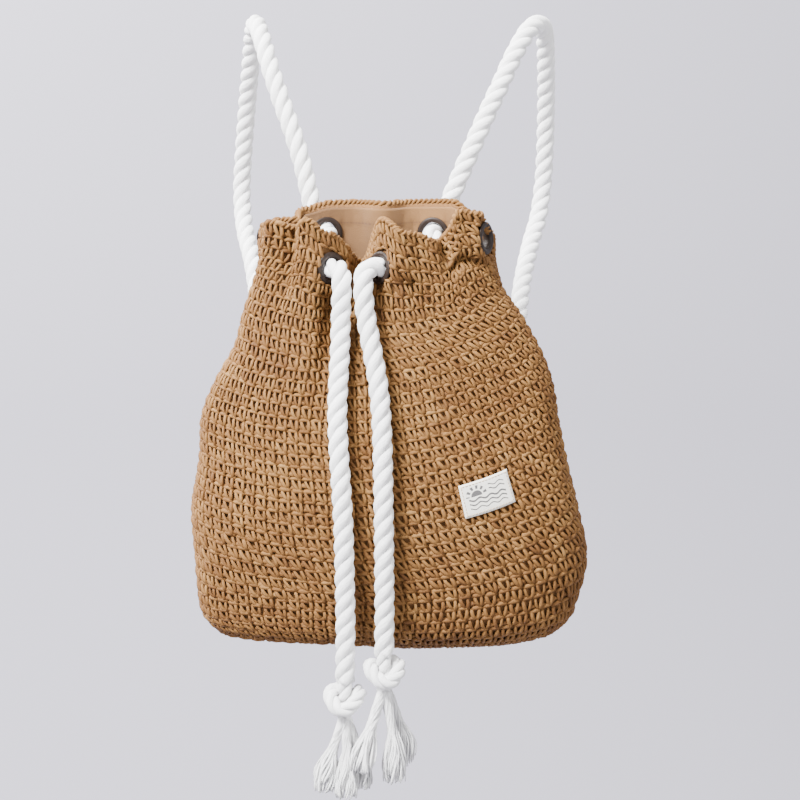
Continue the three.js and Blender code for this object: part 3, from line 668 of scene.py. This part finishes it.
fine_shares = np.linspace(0, 1, 400)
climb = np.linalg.norm(np.diff(wall(20.0, fine_shares), axis=0), axis=1).cumsum()
round_shares = np.interp(np.linspace(0, climb[-1], ROUNDS + 1), climb, fine_shares[1:])
round_shares[0] = 0
bands = [("crochet_lower", 0, 13, WALES), ("crochet_middle", 13, 26, WALES),
         ("crochet_upper", 26, ROUNDS, WALES_DRAWN_IN)]
for name, first, last, wales in bands:
    round_angles = np.array([even_angles(laid, share, wales) for share in round_shares])
    round_angles[1:-1] = (round_angles[:-2] + 2 * round_angles[1:-1] + round_angles[2:]) / 4
    r, k = np.array([(r, k) for r in range(first, last) for k in range(wales)]).T
    low = np.stack([round_angles[r, k], round_angles[r, k + 1]], axis=1)
    high = np.stack([round_angles[r + 1, k], round_angles[r + 1, k + 1]], axis=1)
    lows, highs = round_shares[r], round_shares[r + 1]
    stitched(name, laid, low, high, lows, highs, seed=first + 3)
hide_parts("bag_shell")


# The oval base is crocheted the same way, in rounds that grow from a straight foundation row along its middle.
# The row stops short of the base's ends.
BASE_ROUNDS = 3
BASE_STITCHES = 46
FOUNDATION_STITCHES = 33
FOUNDATION_INSET = 35.2


def base(angle, share, depth=0.0):
    """Points of the base in metres. share is 0 at its edge and 1 at the foundation row."""
    angle, share = np.broadcast_arrays(np.asarray(angle, float), np.asarray(share, float))
    edge = wall(angle, np.zeros_like(share)) / MM
    facing_edge = wall(180 - angle, np.zeros_like(share)) / MM
    to_middle = (facing_edge - edge) * share[..., None] / 2
    to_middle[..., 0] = -np.sin(np.radians(angle)) * FOUNDATION_INSET * share
    to_middle[..., 2] += np.asarray(depth)
    return (edge + to_middle) * MM


ring = np.linspace(0, 1, BASE_ROUNDS + 1)
low, high, lows, highs = [], [], [], []
for r in range(BASE_ROUNDS):
    count = round(np.interp(r, [0, BASE_ROUNDS], [BASE_STITCHES, FOUNDATION_STITCHES]))
    outer, inner = even_angles(base, ring[r], count), even_angles(base, ring[r + 1], count)
    low.append(np.stack([inner[1:], inner[:-1]], axis=1))
    high.append(np.stack([outer[1:], outer[:-1]], axis=1))
    lows.append(np.full(count, ring[r + 1]))
    highs.append(np.full(count, ring[r]))
stitched("crochet_base", base, np.concatenate(low), np.concatenate(high), np.concatenate(lows),
         np.concatenate(highs), seed=91)


# Behind the visible legs lie the crossing plies of the same raffia, in shadow: a closely worked brown wall
# that shows through the holes and on the inside of the bag. It runs on across the base.
PLIES_AT = 3.1
PLIES_THICK = 1.0
FLOOR_AT = 4.0
FLOOR_SHARES = [0.94, 0.7, 0.4, 0.15]
SKIN_CLEAR = 11.5
GRAIN_RADIUS = 0.11


def paint_shadow(start):
    fibres = noise(start, place_of(start), 900, 3)
    return {"Base Color": blended(start, fibres, (0.150, 0.062, 0.017), (0.265, 0.125, 0.037)),
            "Normal": bumped(start, fibres, 0.0012)}


shaded_raffia = finish("raffia in the holes", paint_shadow, Roughness=0.85)


def thickened(piece, thickness):
    """Gives a skin its thickness, in millimetres, on the inner side."""
    bpy.ops.object.select_all(action="DESELECT")
    bpy.context.view_layer.objects.active = piece
    solid = piece.modifiers.new("thickness", "SOLIDIFY")
    solid.thickness = thickness * MM
    solid.offset = -1
    bpy.ops.object.modifier_apply(modifier=solid.name)


def skin_grid(name, shares, step, depth, thickness, material, slot, floor=False):
    """A thin skin that follows the bag's wall at a depth, holed at the eyelets, as a closed solid."""
    angles = np.arange(-180, 180, step)
    grid_angle, grid_share = np.meshgrid(angles, shares)
    points = wall(grid_angle, grid_share, depth(grid_angle, grid_share))
    if floor:
        rows_added = len(FLOOR_SHARES)
        points = np.concatenate([base(angles, share, FLOOR_AT)[None] for share in FLOOR_SHARES] + [points])
        grid_angle = np.concatenate([grid_angle[:1]] * rows_added + [grid_angle])
        grid_share = np.concatenate([grid_share[:1]] * rows_added + [grid_share])
    rows, columns = grid_angle.shape
    index = np.arange(rows * columns).reshape(rows, columns)
    right = np.roll(index, -1, axis=1)
    quads = np.stack([index[:-1], right[:-1], right[1:], index[1:]], axis=-1).reshape(-1, 4)
    points = points.reshape(-1, 3)
    kept = quads[clear_of_eyelets(points[quads].mean(axis=1), SKIN_CLEAR)].tolist()
    if floor:
        kept.append(index[0, ::-1].tolist())
    girth = np.radians(grid_angle.ravel()) * GRAIN_RADIUS
    grain = np.stack([girth, grid_share.ravel() * BAG_HEIGHT * MM, np.zeros(rows * columns)], axis=1)
    piece = piece_from(name, points, kept, material, slot, grain=grain)
    thickened(piece, thickness)
    return piece


skin_grid("crochet_inner_plies", np.linspace(0, 0.995, 110), 1.5, lambda a, s: np.full_like(a, PLIES_AT),
          PLIES_THICK, shaded_raffia, "straw", floor=True)


# A chain edge finishes the rim: two plies of raffia slip-stitched along the last round. They wind round each
# other about once a stitch.
RIM_SHARE = 0.998
RIM_AT = 1.6
RIM_SWING = 1.5 * MM
RIM_PLY = 1.9 * MM
RIM_SIDES = 7
edge_angles = even_angles(wall, 1.0, 700)[:-1]
edge = wall(edge_angles, RIM_SHARE, RIM_AT)
edge_along = unit(np.roll(edge, -1, axis=0) - np.roll(edge, 1, axis=0))
edge_out = facing(edge_angles, np.full_like(edge_angles, RIM_SHARE))
edge_up = np.cross(edge_out, edge_along)
edge_far = np.linspace(0, 2 * np.pi * WALES, len(edge), endpoint=False)
rim_verts, rim_faces, rim_grain, rim_tone = [], [], [], []
for ply in range(2):
    swing = edge_far + np.pi * ply
    line = edge + RIM_SWING * (np.cos(swing)[:, None] * edge_out + np.sin(swing)[:, None] * edge_up)
    turn = np.arange(RIM_SIDES) * 2 * np.pi / RIM_SIDES
    rings = line[:, None] + RIM_PLY * (np.cos(turn)[None, :, None] * edge_up[:, None]
                                       + np.sin(turn)[None, :, None] * edge_out[:, None])
    index = np.arange(len(line) * RIM_SIDES).reshape(-1, RIM_SIDES) + sum(len(part) for part in rim_verts)
    quads = np.stack([index, np.roll(index, -1, axis=1), np.roll(np.roll(index, -1, axis=1), -1, axis=0),
                      np.roll(index, -1, axis=0)], axis=-1)
    rim_verts.append(rings.reshape(-1, 3))
    rim_faces.extend(quads.reshape(-1, 4).tolist())
    rim_grain.append(np.stack([np.repeat(np.arange(len(line)) * 0.001, RIM_SIDES),
                               np.tile(np.cos(turn), len(line)) * 0.002,
                               np.tile(np.sin(turn), len(line)) * 0.002], axis=1))
    rim_tone.append(np.full(len(line) * RIM_SIDES, 0.62))
piece_from("crochet_rim", np.concatenate(rim_verts), rim_faces, raffia, "straw",
           grain=np.concatenate(rim_grain), tone=np.concatenate(rim_tone))


# The lining is a thin tan cotton cloth, hemmed and sewn inside the mouth just under the rim, and gathered with
# it, so that it falls in shallow pleats. Its colour carries painted shade: it is darker down in the bag and
# towards its left, where the mouth is narrow.
LINING_DROP = 150
LINING_TOP = 1 - 5 / BAG_HEIGHT
LINING_FOOT = 1 - LINING_DROP / BAG_HEIGHT
LINING_AT = 5.3
LINING_THICK = 0.7
HEM = 14 / BAG_HEIGHT
HEM_FOLD = 0.7
THREAD = 0.6 * MM


def paint_lining(start):
    weave = noise(start, place_of(start), 1500, 2)
    soft = noise(start, place_of(start), 26, 3)
    girth = axis_of(start, stored(start, "grain", "Vector"), "X")
    height = axis_of(start, stored(start, "grain", "Vector"), "Y")
    hem_line = (LINING_TOP - HEM) * BAG_HEIGHT * MM
    thread = ((height > hem_line - THREAD) * (height < hem_line + THREAD)
              * (start.maths("FRACT", girth * 280) < 0.62))
    cloth = blended(start, 0.5 * weave + 0.5 * soft, (0.170, 0.079, 0.023), (0.236, 0.117, 0.038))
    sewn = blended(start, thread, cloth, (0.15, 0.07, 0.028))
    # Painted shade: the cloth is darkened down in the bag and towards its left side.
    painted_shade_by_depth = start.node("MapRange", {}, {"Value": height, "From Min": (LINING_TOP - 0.16) * BAG_HEIGHT * MM,
                                         "From Max": (LINING_TOP - 0.03) * BAG_HEIGHT * MM})
    right = start.node("MapRange", {}, {"Value": axis_of(start, place_of(start), "X"), "From Min": -0.055,
                                        "From Max": 0.015, "To Min": 0.35})
    light = blended(start, painted_shade_by_depth * right, (0.42, 0.38, 0.34), (1, 1, 1))
    colour = blended(start, 1.0, sewn, light, "MULTIPLY")
    return {"Base Color": colour, "Normal": bumped(start, weave + 2.5 * soft, 0.0006)}


lining_cloth = finish("tan lining cotton", paint_lining, Roughness=0.92, Sheen_Weight=0.15)


def lining_depth(angle, share):
    down = (LINING_TOP - share) / (LINING_TOP - LINING_FOOT)
    a = np.radians(angle)
    pleats = np.sin(a * 17 + 0.6 * np.sin(a * 5)) * 0.9 * smooth(0.05, 0.5, down)
    hem_share = LINING_TOP - HEM
    pucker = 0.25 * np.sin(a * 61) * np.exp(-((hem_share - share) * BAG_HEIGHT / 6) ** 2)
    fold = HEM_FOLD * smooth(hem_share - 0.002, hem_share + 0.002, share)
    return LINING_AT + pleats + pucker + fold


lining = skin_grid("cloth_lining", np.linspace(LINING_FOOT, LINING_TOP, 64), 1.0, lining_depth,
                   LINING_THICK, lining_cloth, "lining")
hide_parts("lining")
middle_line = wall(np.linspace(-180, 180, 721), np.full(721, 0.8), 5.0)


# The eyelets are pressed metal with a black-brown coat: a rolled ring on each face of the cloth and a short
# barrel through it.
BORE = 19.6
BARREL = 21.6
FLANGE_THICK = 1.6
LINED_BY = 2.3
OUTER_ROLL, INNER_ROLL = 0.62, 0.35
RING_POINTS = 56


def paint_metal(start):
    wear = noise(start, place_of(start), 240, 4)
    return {"Base Color": blended(start, wear, (0.008, 0.005, 0.004), (0.026, 0.014, 0.009)),
            "Roughness": 0.38 + 0.2 * wear}


dark_metal = finish("coated eyelet metal", paint_metal, Metallic=0.2, Specular_IOR_Level=0.3)


def eyelet(name, centre, axis, lined):
    inside = WALL + (LINED_BY if lined else 0)
    rings = []
    for height, flat in [(0, OUTER_ROLL), (-inside - FLANGE_THICK * 0.5, INNER_ROLL)]:
        bpy.ops.object.select_all(action="DESELECT")
        bpy.ops.mesh.primitive_torus_add(
            major_segments=RING_POINTS, minor_segments=14, major_radius=(FLANGE + BORE) / 4 * MM,
            minor_radius=(FLANGE - BORE) / 4 * MM)
        made = bpy.context.object
        made.data.transform(Matrix.Translation((0, 0, height * MM)) @ Matrix.Diagonal((1, 1, flat, 1)))
        rings.append(made)
    bpy.ops.object.select_all(action="DESELECT")
    bpy.ops.mesh.primitive_cylinder_add(vertices=RING_POINTS, radius=BARREL / 2 * MM,
                                        depth=(inside + 2) * MM, end_fill_type="NOTHING")
    barrel = bpy.context.object
    barrel.data.transform(Matrix.Translation((0, 0, -inside / 2 * MM)))
    thickened(barrel, (BARREL - BORE) / 2)
    for made in [barrel, *rings]:
        made.select_set(True)
    bpy.ops.object.join()
    piece = bpy.context.object
    piece.name = f"ring_{name}"
    turn = Vector((0, 0, 1)).rotation_difference(Vector(axis)).to_matrix().to_4x4()
    piece.data.transform(Matrix.Translation(Vector(centre) * MM) @ turn)
    bpy.ops.object.shade_smooth()
    piece.data.materials.append(dark_metal)
    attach(piece, "root")
    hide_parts(f"eyelet_{name}")


for name, (centre, axis) in seats.items():
    eyelet(name, centre, axis, not name.startswith("low"))


# The label is a small cream cotton patch on the right of the front, sewn down round its edge. Its print is a
# plain sun over water and two lines of breeze, with no words. SEAM_X and SEAM_Y are half the sides of its seam.
LABEL_AT = (29.5, 0.352)
LABEL_TURN = math.radians(7)
LABEL_WIDTH = 46
LABEL_HEIGHT = 30
LABEL_THICK = 1.0
LABEL_OVER_WALL = 2.4
LABEL_CUSHION = 0.5
SEAM_X, SEAM_Y = 21, 13
SEAM_STITCH = 3
SEAM_THREAD = 0.28 * MM
SEAM_OVER_WALL = 2.95
SUN_X, SUN_Y = -9.5, 2.0


def label_place(x, y, above):
    """A point of the label, x and y in millimetres from its middle."""
    here = wall(np.array([LABEL_AT[0], LABEL_AT[0] + 1, LABEL_AT[0]]),
                np.array([LABEL_AT[1], LABEL_AT[1], LABEL_AT[1] + 0.01])) / MM
    per_degree = np.linalg.norm(here[1] - here[0])
    per_share = np.linalg.norm(here[2] - here[0]) / 0.01
    turned_x = x * math.cos(LABEL_TURN) - y * math.sin(LABEL_TURN)
    turned_y = x * math.sin(LABEL_TURN) + y * math.cos(LABEL_TURN)
    return wall(LABEL_AT[0] + turned_x / per_degree, LABEL_AT[1] + turned_y / per_share, -above)


def paint_label(start):
    x = axis_of(start, stored(start, "grain", "Vector"), "X")
    y = axis_of(start, stored(start, "grain", "Vector"), "Y")
    wave = 0.9 * start.maths("SINE", 0.62 * x)

    def near(mark, middle, reach):
        return start.maths("ABSOLUTE", mark - middle) < reach

    def waved(height, thickness):
        return near(y - wave, height, thickness)

    weave = noise(start, place_of(start), 1800, 2)
    sun_x, sun_y = x - SUN_X, y - SUN_Y
    away = start.maths("SQRT", sun_x * sun_x + sun_y * sun_y)
    spoke = start.maths("ABSOLUTE", start.maths("SINE", 5.5 * start.maths("ARCTAN2", sun_y, sun_x)))
    sun = ((away < 5.0) + (away > 6.2) * (away < 9.4) * (spoke > 0.72)) * (y > SUN_Y)
    water = (waved(-0.8, 0.85) + waved(-4.6, 0.70) + waved(-8.4, 0.55)) * near(x, 0, 17)
    breeze = (waved(4.6, 0.60) + waved(8.2, 0.50)) * near(x, 9.5, 7.5)
    ink = start.maths("MINIMUM", sun + water + breeze, 1.0)
    cloth = blended(start, weave, (0.72, 0.69, 0.62), (0.84, 0.82, 0.76))
    colour = blended(start, ink * (0.86 + 0.12 * weave), cloth, (0.035, 0.032, 0.038))
    return {"Base Color": colour, "Normal": bumped(start, weave, 0.0003)}


label_cloth = finish("label cotton", paint_label, Roughness=0.9)
columns, rows = 28, 18
x, y = np.meshgrid(np.linspace(-0.5, 0.5, columns + 1) * LABEL_WIDTH,
                   np.linspace(-0.5, 0.5, rows + 1) * LABEL_HEIGHT)
cushion = LABEL_CUSHION * smooth(0, 3, np.minimum(LABEL_WIDTH / 2 - np.abs(x), LABEL_HEIGHT / 2 - np.abs(y)))
points = label_place(x, y, LABEL_OVER_WALL + cushion)
index = np.arange(x.size).reshape(x.shape)
quads = np.stack([index[:-1, :-1], index[:-1, 1:], index[1:, 1:], index[1:, :-1]], axis=-1).reshape(-1, 4)
label = piece_from("cloth_label", points.reshape(-1, 3), quads.tolist(), label_cloth, "label",
                   grain=np.stack([x.ravel(), y.ravel(), np.zeros(x.size)], axis=1))
thickened(label, LABEL_THICK)
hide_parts("label")

border = []
corners = [(-SEAM_X, -SEAM_Y), (SEAM_X, -SEAM_Y), (SEAM_X, SEAM_Y), (-SEAM_X, SEAM_Y)]
for (x0, y0), (x1, y1) in zip(corners, corners[1:] + corners[:1]):
    length = math.hypot(x1 - x0, y1 - y0)
    for k in range(round(length / SEAM_STITCH)):
        ends = [(k + 0.14) * SEAM_STITCH / length, (k + 0.86) * SEAM_STITCH / length]
        border.append([(x0 + (x1 - x0) * t, y0 + (y1 - y0) * t) for t in np.linspace(*ends, 4)])
border = np.array(border)
sunk_ends = SEAM_OVER_WALL + np.array([-0.25, 0.12, 0.12, -0.25])
lines = label_place(border[..., 0], border[..., 1], np.broadcast_to(sunk_ends, border.shape[:2]))
run = unit(np.gradient(lines, axis=1))
above = np.full(border.shape[:2], SEAM_OVER_WALL + 0.85)
outward = unit(label_place(border[..., 0], border[..., 1], above) - lines)
sideways = unit(np.cross(outward, run))
verts, faces, _ = tubes(lines, sideways, np.cross(run, sideways), SEAM_THREAD, SEAM_THREAD, 6)
thread = finish("tan thread", lambda start: {"Base Color": blended(
    start, noise(start, place_of(start), 2500), (0.45, 0.30, 0.17), (0.62, 0.45, 0.28))},
    Roughness=0.7)
piece_from("label_stitching", verts, faces, thread, "label")


# The set: a pale sweep of paper far behind and below the bag, and soft light from large panels.
bpy.ops.object.select_all(action="DESELECT")
SWEEP_RADIUS = 1.4
SWEEP_BACK, SWEEP_FLOOR = 2.6, -2.2
bend = np.radians(np.linspace(0, 90, 25))
arc = zip(SWEEP_BACK + SWEEP_RADIUS * (np.sin(bend) - 1), SWEEP_FLOOR + SWEEP_RADIUS * (1 - np.cos(bend)))
sweep_points = [(-2.6, SWEEP_FLOOR), *arc, (SWEEP_BACK, 2.6)]
verts = [(x, y, z) for y, z in sweep_points for x in (-4, 4)]
faces = [(2 * i, 2 * i + 1, 2 * i + 3, 2 * i + 2) for i in range(len(sweep_points) - 1)]
mesh = bpy.data.meshes.new("studio_sweep")
mesh.from_pydata(verts, [], faces)
sweep = bpy.data.objects.new("studio_sweep", mesh)
bpy.context.scene.collection.objects.link(sweep)


def paint_paper(start):
    cloudy = noise(start, place_of(start), 1.2)
    return {"Base Color": blended(start, cloudy, (0.336, 0.326, 0.374), (0.352, 0.341, 0.390))}


paper = finish("pale paper", paint_paper, Roughness=0.95)
sweep.data.materials.append(paper)
sweep.data.polygons.foreach_set("use_smooth", [True] * len(faces))

LAMPS = [
    ("key", (-1.6, -1.9, 2.0), 1.3, 625), ("fill", (1.8, -1.9, 0.3), 2.0, 38),
    ("top", (-0.2, 0.1, 1.9), 2.0, 105), ("paper_left", (-1.8, 0.7, 1.0), 1.5, 218),
    ("paper_right", (1.8, 0.7, 1.0), 1.5, 2),
]
for name, place, size, power in LAMPS:
    bpy.ops.object.light_add(type="AREA", location=place)
    lamp = bpy.context.object
    lamp.name = f"light_{name}"
    lamp.data.shape = "DISK"
    lamp.data.size = size
    lamp.data.energy = power
    target = Vector((0, SWEEP_BACK, -0.4) if name.startswith("paper") else (0, -0.15, -0.35))
    lamp.rotation_euler = (target - Vector(place)).to_track_quat("-Z", "Y").to_euler()
world = bpy.data.worlds.new("studio")
world.use_nodes = True
world.node_tree.nodes["Background"].inputs["Color"].default_value = (1.0, 1.0, 1.02, 1)
world.node_tree.nodes["Background"].inputs["Strength"].default_value = 0.90
bpy.context.scene.world = world
